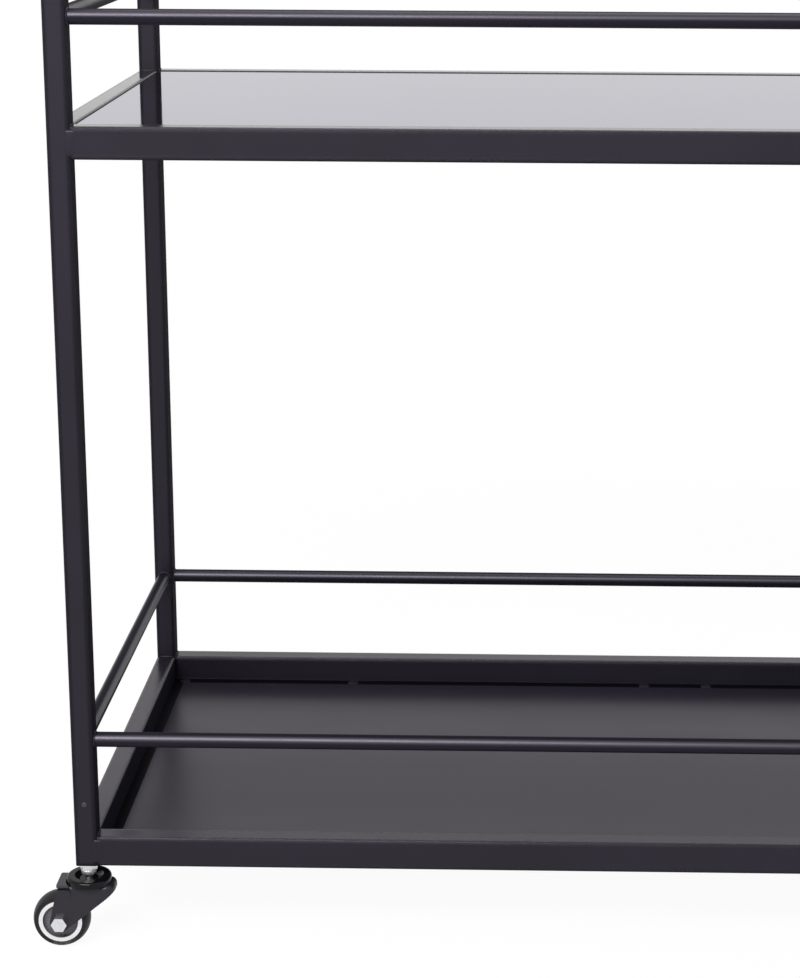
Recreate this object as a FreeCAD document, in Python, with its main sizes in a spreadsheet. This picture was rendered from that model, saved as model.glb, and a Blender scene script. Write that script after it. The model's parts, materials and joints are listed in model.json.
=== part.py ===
"""A two-tier serving cart on four swivel casters, in millimetres.

A welded frame of square tube carries a mirror on top and a sheet-metal tray
below, with a round guard rail above each. The cart stands on the floor at
Z = 0, its length lies along X, its front faces -Y, and the origin is on the
floor under its middle.
"""
import FreeCAD, Part
import math
import os

import PartDesign
import Sketcher
from FreeCAD import Placement, Rotation, Vector

# Driving sizes. Each one is a cell of the document's sheet.
SIZES = {
    # welded frame
    "frame_length": 842,        # over the posts' outer faces
    "frame_depth": 450,         # over the posts' outer faces
    "cart_height": 889,         # floor to the top of the handles
    "handle_rise": 167,         # top of the upper rim to the top of the handles
    "post_side": 19,            # square tube of the posts, rims and handles
    "tube_wall": 1.2,
    "tube_corner": 2.2,         # outer corner radius of every square tube
    "rim_height": 27,
    # guard rails
    "rail_diameter": 13,
    "rail_wall": 1,
    "rail_rise": 87,            # rim top to the rail's axis
    # mirror and its ledges
    "mirror_thickness": 5,
    "mirror_drop": 0.8,         # mirror face below the rim's top
    "mirror_gap": 1,            # mirror edge to the rim
    "mirror_bevel": 0.6,
    "ledge_width": 14,
    "ledge_thickness": 2,
    "ledge_inset": 30,          # a ledge's end to the post beside it
    # tray floor and its ledges
    "tray_depth": 25,           # rim top to the tray floor's face
    "floor_thickness": 1.2,
    "floor_gap": 2.5,           # shadow groove between the floor and the rim
    "floor_bend": 1,            # rounded edge of the floor sheet
    # insert in the foot of each post
    "insert_height": 25,
    # wheel
    "wheel_diameter": 50,
    "tyre_width": 18,
    "tyre_thickness": 6,
    "tyre_shoulder": 2.4,       # crown of the tread above its shoulders
    "ring_width": 3.5,          # bright ring on each face of the wheel
    "ring_thickness": 0.8,
    "rim_half_width": 8.2,      # wheel centre plane to the seat of the ring
    "web_half_width": 5,
    "hub_diameter": 15,
    "hub_gap": 0.3,             # hub end to the fork's cheek
    "axle_diameter": 6,
    "running_gap": 0.05,        # radial clearance of every turning fit
    # fork
    "trail": 25,                # swivel axis to axle
    "wheel_clearance": 7.5,     # tyre to the crown's underside
    "fork_width": 25,
    "cheek_thickness": 2,
    "crown_thickness": 2.5,
    "crown_reach": 23.4,        # swivel axis to the fork's closed end
    "crown_skirt": 6,           # height of that closed end
    "crown_corner": 9,          # its corner radius, seen from above
    "fork_bend": 4,             # outer bend radius along the top edges
    "fork_inner_bend": 2,
    "mouth_radius": 19.2,       # the crown's round front end, under the cap's edge
    "mouth_drop": 3.5,          # cheek top below the fork's top, beside that end
    "nose_reach": 25.6,         # swivel axis to the cheeks' front edge, at the top
    "nose_drop": 4,             # cheek top below the fork's top, at that edge
    "axle_boss_radius": 8.5,
    # swivel stem, its cap and its nut
    "stem_diameter": 8,
    "rivet_diameter": 14,
    "rivet_height": 3.7,
    "rivet_chamfer": 1.2,
    "swivel_gap": 0.3,          # face clearance of the swivel
    "neck_length": 1.9,         # bare stem between the cap and the collar
    "collar_height": 3.5,
    "nut_height": 6.5,
    "nut_across_corners": 15,
    "cap_diameter": 39,
    "cap_height": 5.8,
    "cap_wall": 1.4,
    "cap_shoulder": 2.6,        # outer radius of the cap's rounded shoulder
    "cap_ring_radius": 12.5,    # where the raised ring's flat top ends
    "cap_seat_radius": 8,       # lower seat round the stem
    "cap_seat_height": 2.6,
    "washer_diameter": 22,
    "washer_bore": 10,
    # axle bolt
    "bolt_head_height": 4,
    "bolt_head_across_corners": 14,
    "axle_nut_height": 4.5,
    # brake lever and its pin, on the two front casters
    "pin_reach": 17,            # swivel axis to the lever's pin
    "pin_drop": 6.4,            # fork's top to that pin
    "pin_diameter": 3,
    "pin_head_diameter": 5.6,
    "pin_head_height": 1,
    "lever_width": 19,
    "lever_wall": 1.6,
    "lever_eye_radius": 3.2,
    "shoe_gap": 1.8,            # brake shoe to tyre when the brake is off
    "shoe_end_reach": 26.3,     # swivel axis to the shoe's outer end
    "shoe_root_reach": 20,
    "pedal_reach": 26.8,        # swivel axis to the pedal's outer edge
    "pedal_gap": 0.8,           # pedal's hollow edge to the cap
    "pedal_width": 25.6,
    "pedal_corner": 1.5,
    "pedal_thickness": 2,
    "pedal_rise": 0.6,          # pedal top above the fork's top
    "overrun": 5,               # how far every cut runs past what it cuts
}

# Where the fork's edges meet the round of the axle boss, as shares of its radius.
BOSS_REAR_SHARES = (0.62, -0.785)
BOSS_FRONT_SHARES = (-0.9755, 0.22)

# Where the round of the brake lever's eye starts and ends, as shares of its radius.
EYE_LOW_SHARES = (-0.17, -0.985)
EYE_HIGH_SHARES = (0.5, 0.866)

doc = FreeCAD.newDocument("serving_cart")
sheet = doc.addObject("Spreadsheet::Sheet", "Sizes")
for row, (alias, number) in enumerate(SIZES.items(), start=1):
    sheet.set(f"A{row}", alias)
    sheet.set(f"B{row}", str(number))
    sheet.setAlias(f"B{row}", alias)
doc.recompute()


class Size:
    """A length: its number, and the same sum written for the sheet."""

    def __init__(self, number, text):
        self.number = number
        self.text = text

    def __add__(self, other):
        other = as_size(other)
        return Size(self.number + other.number, f"({self.text} + {other.text})")

    def __sub__(self, other):
        other = as_size(other)
        return Size(self.number - other.number, f"({self.text} - {other.text})")

    def __mul__(self, share):
        return Size(self.number * share, f"({self.text} * {share})")

    def __truediv__(self, share):
        return Size(self.number / share, f"({self.text} / {share})")

    def __neg__(self):
        return self * -1

    __radd__ = __add__
    __rmul__ = __mul__


def as_size(value):
    return value if isinstance(value, Size) else Size(value, str(value))


def size(alias):
    return Size(float(sheet.get(alias)), f"Sizes.{alias}")


def reach_on_circle(radius, offset):
    """The other leg of a right triangle: height of a circle at this offset from its centre."""
    text = f"sqrt({radius.text} * {radius.text} - {offset.text} * {offset.text})"
    return Size(math.sqrt(radius.number ** 2 - offset.number ** 2), text)


def bind(target, name, value):
    """Sets a property and ties it to the sheet."""
    value = as_size(value)
    target.setExpression(name, value.text)


def place(target, x=0, y=0, z=0, turn=0):
    """Puts a finished piece in the cart, turned about Z by a number of degrees."""
    x, y, z = as_size(x), as_size(y), as_size(z)
    spot = Vector(x.number, y.number, z.number)
    target.Placement = Placement(spot, Rotation(Vector(0, 0, 1), turn))
    for name, value in (("x", x), ("y", y), ("z", z)):
        bind(target, f"Placement.Base.{name}", value)


class Piece:
    """A body whose features are sketched, padded, turned and cut from the sheet's sizes."""

    def __init__(self, label):
        self.body = doc.addObject("PartDesign::Body", label)
        self.body.Label = label
        self.count = 0

    def feature(self, kind, name):
        self.count += 1
        return self.body.newObject(kind, f"{self.body.Name}_{name}_{self.count}")

    def sketch(self, plane, offset=0):
        """An empty sketch on XY, XZ or YZ, moved along that plane's normal."""
        made = self.feature("Sketcher::SketchObject", "sketch")
        planes = {feature.Role: feature for feature in self.body.Origin.OriginFeatures}
        made.AttachmentSupport = (planes[f"{plane}_Plane"], [""])
        made.MapMode = "FlatFace"
        bind(made, "AttachmentOffset.Base.z", offset)
        return made

    def pad(self, sketch, length, centred=False):
        made = self.feature("PartDesign::Pad", "pad")
        made.Profile = sketch
        made.SideType = "Symmetric" if centred else "One side"
        bind(made, "Length", length)
        return self.settled(made)

    def pocket(self, sketch, length, centred=False, upwards=False):
        before = self.body.Shape.Volume
        made = self.feature("PartDesign::Pocket", "pocket")
        made.Profile = sketch
        made.SideType = "Symmetric" if centred else "One side"
        made.Reversed = upwards
        bind(made, "Length", length)
        self.settled(made)
        if self.body.Shape.Volume >= before:
            raise RuntimeError(f"{made.Name} cuts nothing")
        return made

    def turn(self, sketch):
        """A full turn of the sketch about its own vertical axis."""
        made = self.feature("PartDesign::Revolution", "turn")
        made.Profile = sketch
        made.ReferenceAxis = (sketch, ["V_Axis"])
        made.Angle = 360
        return self.settled(made)

    def fillet(self, base, edges, radius):
        made = self.feature("PartDesign::Fillet", "fillet")
        made.Base = (base, edges)
        bind(made, "Radius", radius)
        return self.settled(made)

    def settled(self, made):
        self.body.Tip = made
        doc.recompute()
        return made


def outline(sketch, points, arcs=None):
    """A closed outline through points; arcs maps a side to its radius and whether it runs anticlockwise.

    Each point is tied to the sheet by its two coordinates, each arc also by its radius.
    """
    arcs = arcs or {}
    first = sketch.GeometryCount
    count = len(points)
    for side, (u, v) in enumerate(points):
        nu, nv = points[(side + 1) % count]
        start = Vector(u.number, v.number, 0)
        end = Vector(nu.number, nv.number, 0)
        if side not in arcs:
            sketch.addGeometry(Part.LineSegment(start, end), False)
            continue
        radius, anticlockwise = arcs[side]
        chord = end - start
        half = chord.Length / 2
        height = radius.number - math.sqrt(max(radius.number ** 2 - half ** 2, 0))
        outward = Vector(chord.y, -chord.x, 0).normalize() * (1 if anticlockwise else -1)
        middle = (start + end) * 0.5 + outward * height
        sketch.addGeometry(Part.Arc(start, middle, end), False)

    def ends(side):
        """The places of a side's start and end among its geometry's own."""
        if side in arcs and not arcs[side][1]:
            return 2, 1
        return 1, 2

    for side in range(count):
        following = (side + 1) % count
        sketch.addConstraint(Sketcher.Constraint(
            "Coincident", first + side, ends(side)[1], first + following, ends(following)[0]))
    for side, (u, v) in enumerate(points):
        for kind, value in (("DistanceX", u), ("DistanceY", v)):
            tie(sketch, Sketcher.Constraint(kind, first + side, ends(side)[0], value.number), value)
        if side in arcs:
            radius = arcs[side][0]
            tie(sketch, Sketcher.Constraint("Radius", first + side, radius.number), radius)


def circle(sketch, radius, u=0, v=0):
    radius, u, v = as_size(radius), as_size(u), as_size(v)
    round_ = Part.Circle(Vector(u.number, v.number, 0), Vector(0, 0, 1), radius.number)
    index = sketch.addGeometry(round_, False)
    tie(sketch, Sketcher.Constraint("Radius", index, radius.number), radius)
    tie(sketch, Sketcher.Constraint("DistanceX", index, 3, u.number), u)
    tie(sketch, Sketcher.Constraint("DistanceY", index, 3, v.number), v)


def tie(sketch, constraint, value):
    index = sketch.addConstraint(constraint)
    bind(sketch, f"Constraints[{index}]", value)


def rectangle(sketch, low_u, low_v, high_u, high_v):
    outline(sketch, [(low_u, low_v), (high_u, low_v), (high_u, high_v), (low_u, high_v)])


def rounded_rectangle(sketch, width, height, radius):
    """A rectangle about the sketch's origin with four quarter-round corners."""
    u, v = width / 2, height / 2
    points = [(u - radius, -v), (u, -v + radius), (u, v - radius), (u - radius, v),
              (-u + radius, v), (-u, v - radius), (-u, -v + radius), (-u + radius, -v)]
    outline(sketch, points, {side: (radius, True) for side in (0, 2, 4, 6)})


def group(label, members):
    """Separate solids that share one node."""
    made = doc.addObject("Part::Compound", label)
    made.Label = label
    made.Links = [member.body if isinstance(member, Piece) else member for member in members]
    return made


# Sizes that several pieces share
shelf_rim_top = size("cart_height") - size("handle_rise")
half_length = size("frame_length") / 2
half_depth = size("frame_depth") / 2
post_side = size("post_side")
post_x = half_length - post_side / 2
post_y = half_depth - post_side / 2
tube_wall = size("tube_wall")
inner_corner = size("tube_corner") - tube_wall
wheel_radius = size("wheel_diameter") / 2
overrun = size("overrun")
corners = [(end, side) for end in ("front", "rear") for side in ("left", "right")]


# Levels above the floor, from the wheel up to the frame's underside and the lower rim
crown_underside = size("wheel_diameter") + size("wheel_clearance")
fork_top = crown_underside + size("crown_thickness")
cap_bottom = fork_top + size("swivel_gap")
cap_top = cap_bottom + size("cap_height")
collar_bottom = cap_top + size("neck_length")
nut_bottom = collar_bottom + size("collar_height")
frame_underside = nut_bottom + size("nut_height")
tray_rim_top = frame_underside + size("rim_height")
stem_radius = size("stem_diameter") / 2
pin_height = fork_top - size("pin_drop")


def sign_of(word):
    """Left and front lie on the negative side of the cart."""
    return -1 if word in ("left", "front") else 1


def trail_sign(end, side):
    """Which way a caster trails along X: the front pair stands turned outwards, the rear pair inwards."""
    return -sign_of(end) * sign_of(side)


def place_caster_part(target, end, side):
    """Puts a piece that is made about the swivel axis, with its wheel towards -X, on its caster."""
    turn = 0 if trail_sign(end, side) < 0 else 180
    place(target, post_x * sign_of(side), post_y * sign_of(end), turn=turn)


def axle_x(end, side):
    return post_x * sign_of(side) + size("trail") * trail_sign(end, side)


def tube_section(sketch, width, height):
    """The wall of a square or rectangular tube."""
    rounded_rectangle(sketch, width, height, size("tube_corner"))
    rounded_rectangle(sketch, width - tube_wall * 2, height - tube_wall * 2, inner_corner)


def make_post(end, side):
    """A corner post: square tube, cut at 45 degrees on top to meet the handle."""
    piece = Piece(f"post_{end}_{side}")
    section = piece.sketch("XY", frame_underside)
    tube_section(section, post_side, post_side)
    piece.pad(section, size("cart_height") - frame_underside)
    mitre = piece.sketch("YZ", -post_side / 2 - overrun)
    top = size("cart_height")
    outline(mitre, [(-post_side / 2, top),
                    (post_side / 2 + overrun, top - post_side - overrun),
                    (post_side / 2 + overrun, top + overrun),
                    (-post_side / 2, top + overrun)])
    piece.pocket(mitre, post_side + overrun * 2, upwards=True)
    place(piece.body, post_x * sign_of(side), post_y * sign_of(end), turn=0 if end == "front" else 180)
    return piece.body


def make_handle(side):
    """The push handle of one end: square tube between two posts, mitred at both ends."""
    piece = Piece(f"handle_{side}")
    section = piece.sketch("XZ", -half_depth)
    tube_section(section, post_side, post_side)
    piece.pad(section, half_depth * 2)
    for direction in (-1, 1):
        mitre = piece.sketch("YZ", -post_side / 2 - overrun)
        outer, inner = half_depth * direction, (half_depth - post_side - overrun) * direction
        points = [(outer, post_side / 2), (inner, -post_side / 2 - overrun),
                  (outer + overrun * direction, -post_side / 2 - overrun),
                  (outer + overrun * direction, post_side / 2)]
        outline(mitre, points)
        piece.pocket(mitre, post_side + overrun * 2, upwards=True)
    place(piece.body, post_x * sign_of(side), 0, size("cart_height") - post_side / 2)
    return piece.body


def make_long_tube(label, end, height, draw):
    """A tube along X between two posts; draw puts its section in a sketch."""
    piece = Piece(label)
    reach = half_length - post_side
    section = piece.sketch("YZ", -reach)
    draw(section)
    piece.pad(section, reach * 2)
    place(piece.body, 0, post_y * sign_of(end), height)
    return piece.body


def make_cross_tube(label, side, height, draw):
    """A tube along Y between a front and a rear post."""
    piece = Piece(label)
    reach = half_depth - post_side
    section = piece.sketch("XZ", -reach)
    draw(section)
    piece.pad(section, reach * 2)
    place(piece.body, post_x * sign_of(side), 0, height)
    return piece.body


def rim_section(sketch):
    tube_section(sketch, post_side, size("rim_height"))


def rail_section(sketch):
    circle(sketch, size("rail_diameter") / 2)
    circle(sketch, size("rail_diameter") / 2 - size("rail_wall"))


def make_tier(tier, rim_top):
    """The rim and the guard rail round one tier, four tubes each."""
    made = []
    rim_height = rim_top - size("rim_height") / 2
    rail_height = rim_top + size("rail_rise")
    for kind, height, draw in (("rim", rim_height, rim_section), ("rail", rail_height, rail_section)):
        for end in ("front", "rear"):
            made.append(make_long_tube(f"{tier}_{kind}_{end}", end, height, draw))
        for side in ("left", "right"):
            made.append(make_cross_tube(f"{tier}_{kind}_{side}", side, height, draw))
    return made


def top_edges(feature, height):
    """The names of the edges that lie at this height in the body."""
    names = []
    for number, edge in enumerate(feature.Shape.Edges, start=1):
        box = edge.BoundBox
        if max(abs(box.ZMin - height.number), abs(box.ZMax - height.number)) < FLATNESS:
            names.append(f"Edge{number}")
    return names


FLATNESS = 1e-4                 # how level an edge has to be


def make_sheet(label, gap, thickness, top, edge_radius):
    """A flat panel that fills a tier's rim up to a gap, with its top edges rounded."""
    piece = Piece(label)
    plan = piece.sketch("XY", -thickness)
    u, v = half_length - post_side - gap, half_depth - post_side - gap
    rectangle(plan, -u, -v, u, v)
    block = piece.pad(plan, thickness)
    piece.fillet(block, top_edges(block, as_size(0)), edge_radius)
    place(piece.body, z=top)
    return piece.body


def make_box(label, length, width, height, x, y, z):
    """A box by its middle in plan and its underside."""
    box = doc.addObject("Part::Box", label)
    bind(box, "Length", length)
    bind(box, "Width", width)
    bind(box, "Height", height)
    place(box, x - length / 2, y - width / 2, z)
    return box


def make_ledges(label, thickness, top, long_inset, short_inset, tuck):
    """Four flat strips inside a rim that carry its panel; tuck is how far each reaches past the rim's face."""
    strips = []
    width = size("ledge_width")
    long_reach = half_length - post_side - long_inset
    short_reach = half_depth - post_side - short_inset
    for end in ("front", "rear"):
        y = (half_depth - post_side - width / 2 + tuck / 2) * sign_of(end)
        strips.append(make_box(f"{label}_{end}", long_reach * 2, width + tuck, thickness,
                               as_size(0), y, top - thickness))
    for side in ("left", "right"):
        x = (half_length - post_side - width / 2 + tuck / 2) * sign_of(side)
        strips.append(make_box(f"{label}_{side}", width + tuck, short_reach * 2, thickness,
                               x, as_size(0), top - thickness))
    return group(label, strips)


def make_insert(end, side):
    """The tapped plug in a post's foot that takes the caster's stem."""
    piece = Piece(f"insert_{end}_{side}")
    width = post_side - tube_wall * 2
    plan = piece.sketch("XY", frame_underside)
    rounded_rectangle(plan, width, width, inner_corner)
    circle(plan, size("stem_diameter") / 2)
    piece.pad(plan, size("insert_height"))
    place(piece.body, post_x * sign_of(side), post_y * sign_of(end))
    return piece


def make_stem(end, side):
    """The swivel stem: rivet head under the fork, bare neck, collar and shank, and its lock nut."""
    piece = Piece(f"stem_bolt_{end}_{side}")
    profile = piece.sketch("XZ")
    rivet = size("rivet_diameter") / 2
    rivet_top = crown_underside - size("swivel_gap")
    rivet_bottom = rivet_top - size("rivet_height")
    top = frame_underside + size("insert_height")
    zero = as_size(0)
    chamfer = size("rivet_chamfer")
    outline(profile, [(zero, rivet_bottom), (rivet - chamfer, rivet_bottom),
                      (rivet, rivet_bottom + chamfer), (rivet, rivet_top),
                      (stem_radius, rivet_top), (stem_radius, collar_bottom),
                      (rivet, collar_bottom), (rivet, nut_bottom),
                      (stem_radius, nut_bottom), (stem_radius, top), (zero, top)])
    piece.turn(profile)
    nut = make_hex(f"stem_nut_{end}_{side}", size("nut_across_corners"), size("nut_height"),
                   stem_radius)
    place(nut, z=nut_bottom)
    made = group(f"stem_{end}_{side}", [piece, nut])
    place(made, post_x * sign_of(side), post_y * sign_of(end))
    return made


def make_hex(label, across_corners, height, bore):
    """A hexagon nut along Z, from Z = 0."""
    blank = doc.addObject("Part::Prism", f"{label}_blank")
    blank.Polygon = 6
    bind(blank, "Circumradius", across_corners / 2)
    bind(blank, "Height", height)
    hole = doc.addObject("Part::Cylinder", f"{label}_bore")
    bind(hole, "Radius", bore)
    bind(hole, "Height", height)
    nut = doc.addObject("Part::Cut", label)
    nut.Base = blank
    nut.Tool = hole
    return nut


def make_cap(end, side):
    """The pressed cap over the swivel bearing: a raised ring about a lower seat round the stem."""
    piece = Piece(f"swivel_cap_{end}_{side}")
    profile = piece.sketch("XZ")
    wall, radius, shoulder = size("cap_wall"), size("cap_diameter") / 2, size("cap_shoulder")
    ring, seat, seat_top = size("cap_ring_radius"), size("cap_seat_radius"), cap_bottom + size("cap_seat_height")
    brow = cap_top - shoulder
    outline(profile, [(stem_radius, seat_top - wall), (seat, seat_top - wall),
                      (ring, cap_top - wall), (radius - shoulder, cap_top - wall),
                      (radius - wall, brow), (radius - wall, cap_bottom),
                      (radius, cap_bottom), (radius, brow),
                      (radius - shoulder, cap_top), (ring, cap_top),
                      (seat, seat_top), (stem_radius, seat_top)],
            {3: (shoulder - wall, False), 7: (shoulder, True)})
    piece.turn(profile)
    place(piece.body, post_x * sign_of(side), post_y * sign_of(end))
    return piece.body


def make_washer(end, side):
    """The thrust washer under the cap, which the fork turns against."""
    piece = Piece(f"washer_{end}_{side}")
    plan = piece.sketch("XY", cap_bottom)
    circle(plan, size("washer_diameter") / 2)
    circle(plan, size("washer_bore") / 2)
    piece.pad(plan, size("cap_seat_height") - size("cap_wall"))
    place(piece.body, post_x * sign_of(side), post_y * sign_of(end))
    return piece


def upright_edges(feature, x):
    """The names of the vertical edges that stand at this X in the body."""
    names = []
    for number, edge in enumerate(feature.Shape.Edges, start=1):
        box = edge.BoundBox
        if max(abs(box.XMin - x.number), abs(box.XMax - x.number), box.YLength) < FLATNESS:
            names.append(f"Edge{number}")
    return names


def lengthwise_edges(feature, height):
    """The names of the long edges along X at this height in the body."""
    names = []
    for number, edge in enumerate(feature.Shape.Edges, start=1):
        box = edge.BoundBox
        level = abs(box.ZMin - height.number) < FLATNESS and box.ZLength < FLATNESS
        if level and box.YLength < FLATNESS and box.XLength > size("crown_reach").number:
            names.append(f"Edge{number}")
    return names


def make_fork(end, side):
    """The stamped fork: a crown round the stem, closed behind, and two cheeks down to the axle."""
    piece = Piece(f"fork_{end}_{side}")
    boss, trail = size("axle_boss_radius"), size("trail")
    rear_u, rear_v = (boss * share for share in BOSS_REAR_SHARES)
    front_u, front_v = (boss * share for share in BOSS_FRONT_SHARES)
    cheek = piece.sketch("XZ")
    outline(cheek, [(-size("nose_reach"), fork_top),
                    (front_u - trail, wheel_radius + front_v),
                    (rear_u - trail, wheel_radius + rear_v),
                    (size("crown_reach"), fork_top - size("crown_skirt")),
                    (size("crown_reach"), fork_top)],
            {1: (boss, True)})
    blank = piece.pad(cheek, size("fork_width"), centred=True)
    rounded = piece.fillet(blank, upright_edges(blank, size("crown_reach")), size("crown_corner"))
    piece.fillet(rounded, lengthwise_edges(rounded, fork_top), size("fork_bend"))

    half_width = size("fork_width") / 2
    inside = half_width - size("cheek_thickness")
    back = size("crown_reach") - size("cheek_thickness")
    corner = size("crown_corner") - size("cheek_thickness")
    far = -trail - wheel_radius - overrun
    hollow = piece.sketch("XY", crown_underside)
    outline(hollow, [(far, -inside), (back - corner, -inside), (back, -inside + corner),
                     (back, inside - corner), (back - corner, inside), (far, inside)],
            {1: (corner, True), 3: (corner, True)})
    bent = piece.pocket(hollow, crown_underside)
    piece.fillet(bent, lengthwise_edges(bent, crown_underside), size("fork_inner_bend"))

    mouth = size("mouth_radius")
    start = -reach_on_circle(mouth, half_width)
    clear = half_width + overrun
    front_end = piece.sketch("XY", fork_top)
    outline(front_end, [(far, -clear), (start, -clear), (start, -half_width),
                        (start, half_width), (start, clear), (far, clear)],
            {2: (mouth, False)})
    piece.pocket(front_end, size("mouth_drop"))
    slope = piece.sketch("XZ")
    nose, nose_top = -size("nose_reach"), fork_top - size("nose_drop")
    mouth_top = fork_top - size("mouth_drop")
    outline(slope, [(-mouth, mouth_top), (nose, nose_top), (nose - overrun, nose_top),
                    (nose - overrun, mouth_top + overrun)])
    piece.pocket(slope, size("fork_width") + overrun, centred=True)

    bore = piece.sketch("XY", fork_top + overrun)
    circle(bore, stem_radius + size("running_gap"))
    piece.pocket(bore, size("crown_thickness") + overrun * 2)
    axle = piece.sketch("XZ")
    circle(axle, size("axle_diameter") / 2 + size("running_gap"), -trail, wheel_radius)
    piece.pocket(axle, size("fork_width") + overrun, centred=True)
    if end == "front":
        pin = piece.sketch("XZ")
        circle(pin, size("pin_diameter") / 2, -size("pin_reach"), pin_height)
        piece.pocket(pin, size("fork_width") + overrun, centred=True)
    place_caster_part(piece.body, end, side)
    return piece.body


def place_at_axle(target, end, side):
    """Puts a piece that is made about the wheel's centre on its caster."""
    place(target, axle_x(end, side), post_y * sign_of(end), wheel_radius)


def make_wheel_core(end, side):
    """The moulded wheel: hub, thin web and rim, turned about the axle along Y."""
    piece = Piece(f"wheel_core_{end}_{side}")
    profile = piece.sketch("XY")
    bore = size("axle_diameter") / 2 + size("running_gap")
    hub = size("hub_diameter") / 2
    rim = wheel_radius - size("tyre_thickness")
    seat = rim - size("ring_width")
    hub_end = size("fork_width") / 2 - size("cheek_thickness") - size("hub_gap")
    web, rim_face = size("web_half_width"), size("rim_half_width")
    half = [(bore, hub_end), (hub, hub_end), (hub, web), (seat, web), (seat, rim_face), (rim, rim_face)]
    outline(profile, half + [(u, -v) for u, v in reversed(half)])
    piece.turn(profile)
    place_at_axle(piece.body, end, side)
    return piece.body


def make_ring(label, face):
    """One bright ring on a face of the wheel, seated on the rim."""
    piece = Piece(label)
    rim = wheel_radius - size("tyre_thickness")
    low, high = size("rim_half_width"), size("rim_half_width") + size("ring_thickness")
    profile = piece.sketch("XY")
    rectangle(profile, rim - size("ring_width"), low * face, rim, high * face)
    piece.turn(profile)
    return piece


def make_rings(end, side):
    pair = [make_ring(f"ring_{end}_{side}_{name}", face) for name, face in (("near", -1), ("far", 1))]
    made = group(f"wheel_rings_{end}_{side}", pair)
    place_at_axle(made, end, side)
    return made


def make_tyre(end, side):
    """The soft tyre, with flat sides and a rounded tread."""
    piece = Piece(f"tyre_{end}_{side}")
    profile = piece.sketch("XY")
    seat = wheel_radius - size("tyre_thickness")
    half, crown = size("tyre_width") / 2, size("tyre_shoulder")
    shoulder = wheel_radius - crown
    tread = Size((half.number ** 2 + crown.number ** 2) / (2 * crown.number),
                 f"(({half.text} * {half.text} + {crown.text} * {crown.text}) / (2 * {crown.text}))")
    outline(profile, [(seat, -half), (shoulder, -half), (shoulder, half), (seat, half)],
            {1: (tread, True)})
    piece.turn(profile)
    place_at_axle(piece.body, end, side)
    return piece.body


def make_axle(end, side):
    """The axle: a hexagon bolt from the outside of the cart and its nut on the inside."""
    label = f"{end}_{side}"
    reach = size("fork_width") / 2
    radius = size("axle_diameter") / 2
    shank = doc.addObject("Part::Cylinder", f"axle_shank_{label}")
    bind(shank, "Radius", radius)
    bind(shank, "Height", size("fork_width") + size("axle_nut_height"))
    head = doc.addObject("Part::Prism", f"axle_head_{label}")
    head.Polygon = 6
    bind(head, "Circumradius", size("bolt_head_across_corners") / 2)
    bind(head, "Height", size("bolt_head_height"))
    place(head, z=-size("bolt_head_height"))
    bolt = doc.addObject("Part::Fuse", f"axle_bolt_{label}")
    bolt.Base = shank
    bolt.Tool = head
    nut = make_hex(f"axle_nut_{label}", size("bolt_head_across_corners"), size("axle_nut_height"), radius)
    place(nut, z=size("fork_width"))
    made = group(f"axle_{label}", [bolt, nut])
    outwards = sign_of(end)
    lie_down = Rotation(Vector(1, 0, 0), 90 * outwards)
    spot_y = post_y * outwards + reach * outwards
    made.Placement = Placement(Vector(), lie_down)
    bind(made, "Placement.Base.x", axle_x(end, side))
    bind(made, "Placement.Base.y", spot_y)
    bind(made, "Placement.Base.z", wheel_radius)
    return made


def make_brake_lever(side):
    """The brake lever: a pedal over the wheel on two arms, with the shoe between them."""
    piece = Piece(f"brake_lever_front_{side}")
    trail, wall = size("trail"), size("lever_wall")
    shoe = wheel_radius + size("shoe_gap")
    eye_u, eye_v, eye = -size("pin_reach"), pin_height, size("lever_eye_radius")
    low_u, low_v = (eye * share for share in EYE_LOW_SHARES)
    high_u, high_v = (eye * share for share in EYE_HIGH_SHARES)
    end_u, root_u = -size("shoe_end_reach"), -size("shoe_root_reach")

    def height_over_wheel(radius, u):
        return wheel_radius + reach_on_circle(radius, u + trail)

    pedal_top = fork_top + size("pedal_rise")
    pedal_bottom = pedal_top - size("pedal_thickness")
    web = piece.sketch("XZ")
    outline(web, [(end_u, pedal_bottom), (end_u, height_over_wheel(shoe, end_u)),
                  (root_u, height_over_wheel(shoe, root_u)),
                  (eye_u + low_u, eye_v + low_v), (eye_u + high_u, eye_v + high_v),
                  (root_u, eye_v + eye), (root_u, pedal_bottom)],
            {1: (shoe, False), 3: (eye, True)})
    piece.pad(web, size("lever_width"), centred=True)
    hollow = piece.sketch("XZ")
    floor = shoe + wall
    below, behind = eye_v - eye - overrun, eye_u + eye + overrun
    outline(hollow, [(end_u + wall, pedal_bottom), (end_u + wall, height_over_wheel(floor, end_u + wall)),
                     (root_u, height_over_wheel(floor, root_u)), (root_u, below),
                     (behind, below), (behind, pedal_bottom)],
            {1: (floor, False)})
    piece.pocket(hollow, size("lever_width") - wall * 2, centred=True)

    edge, half_width, corner = -size("pedal_reach"), size("pedal_width") / 2, size("pedal_corner")
    hollow_radius = size("cap_diameter") / 2 + size("pedal_gap")
    inner = -reach_on_circle(hollow_radius, half_width)
    pedal = piece.sketch("XY", pedal_bottom)
    outline(pedal, [(edge + corner, -half_width), (inner, -half_width), (inner, half_width),
                    (edge + corner, half_width), (edge, half_width - corner), (edge, -half_width + corner)],
            {1: (hollow_radius, False), 3: (corner, True), 5: (corner, True)})
    piece.pad(pedal, size("pedal_thickness"))
    bore = piece.sketch("XZ")
    circle(bore, size("pin_diameter") / 2 + size("running_gap"), eye_u, eye_v)
    piece.pocket(bore, size("lever_width") + overrun, centred=True)
    place_caster_part(piece.body, "front", side)
    return piece.body


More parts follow.
